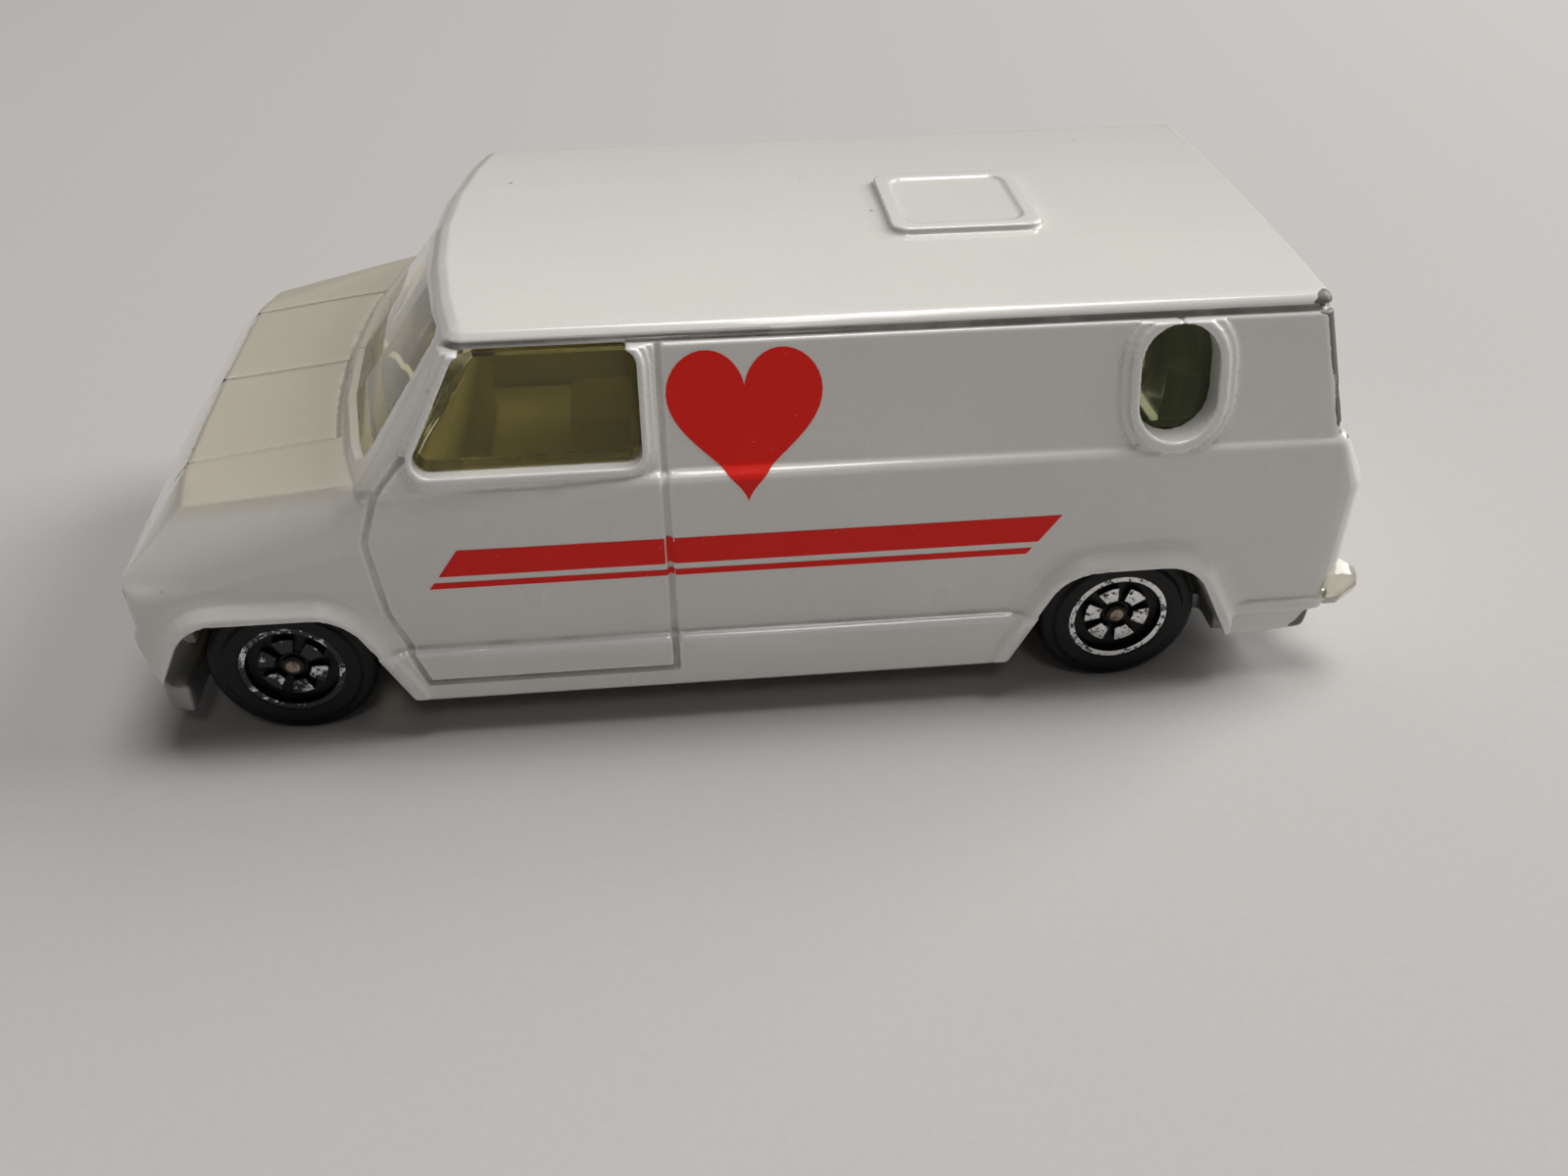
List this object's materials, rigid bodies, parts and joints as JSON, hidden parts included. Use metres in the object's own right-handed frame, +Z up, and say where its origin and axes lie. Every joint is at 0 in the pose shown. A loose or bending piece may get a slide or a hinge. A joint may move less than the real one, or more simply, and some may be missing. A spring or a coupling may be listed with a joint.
{
  "type": "toy ambulance",
  "caption": "Die-cast toy van painted as an ambulance, with a tinted window insert, a dark metal base with a bumper, and moulded wheels that spin freely on wire axles.",
  "frame": {"origin": "centre of the footprint, on the ground under the wheels", "axes": "+X to the front of the van, +Y to its left side, +Z up"},
  "size_m": [0.0708, 0.0342, 0.0247],
  "materials": {
    "body_enamel": "glossy enamel",
    "base_metal": "dark gunmetal plating",
    "window_tint": "clear moulded plastic with an olive tint",
    "interior_plastic": "moulded, semi-matt",
    "axle_wire": "tarnished wire",
    "wheel_plastic": "black moulded plastic with worn silver foil on the face",
    "lamp_clear": "clear moulded plastic",
    "lamp_amber": "clear moulded plastic, yellowed",
    "print_red": "printed paint, satin"
  },
  "bodies": {
    "van": {"body_shell": "body_enamel", "chassis_base": "base_metal", "window_glazing": "window_tint", "interior_tray": "interior_plastic", "front_axle": "axle_wire", "rear_axle": "axle_wire", "headlamp_left": "lamp_clear", "headlamp_right": "lamp_clear", "tail_lamp_left": "lamp_amber", "tail_lamp_right": "lamp_amber"},
    "front_left_wheel": {"wheel_front_left": "wheel_plastic"},
    "front_right_wheel": {"wheel_front_right": "wheel_plastic"},
    "rear_left_wheel": {"wheel_rear_left": "wheel_plastic"},
    "rear_right_wheel": {"wheel_rear_right": "wheel_plastic"}
  },
  "joints": [
    {"name": "front_left_spin", "type": "hinge", "parent": "van", "child": "front_left_wheel", "pos_m": [0.027, 0.014, 0.0047], "axis": [0, 1, 0], "continuous": true},
    {"name": "front_right_spin", "type": "hinge", "parent": "van", "child": "front_right_wheel", "pos_m": [0.027, -0.014, 0.0047], "axis": [0, 1, 0], "continuous": true},
    {"name": "rear_left_spin", "type": "hinge", "parent": "van", "child": "rear_left_wheel", "pos_m": [-0.021, 0.014, 0.0047], "axis": [0, 1, 0], "continuous": true},
    {"name": "rear_right_spin", "type": "hinge", "parent": "van", "child": "rear_right_wheel", "pos_m": [-0.021, -0.014, 0.0047], "axis": [0, 1, 0], "continuous": true}
  ]
}
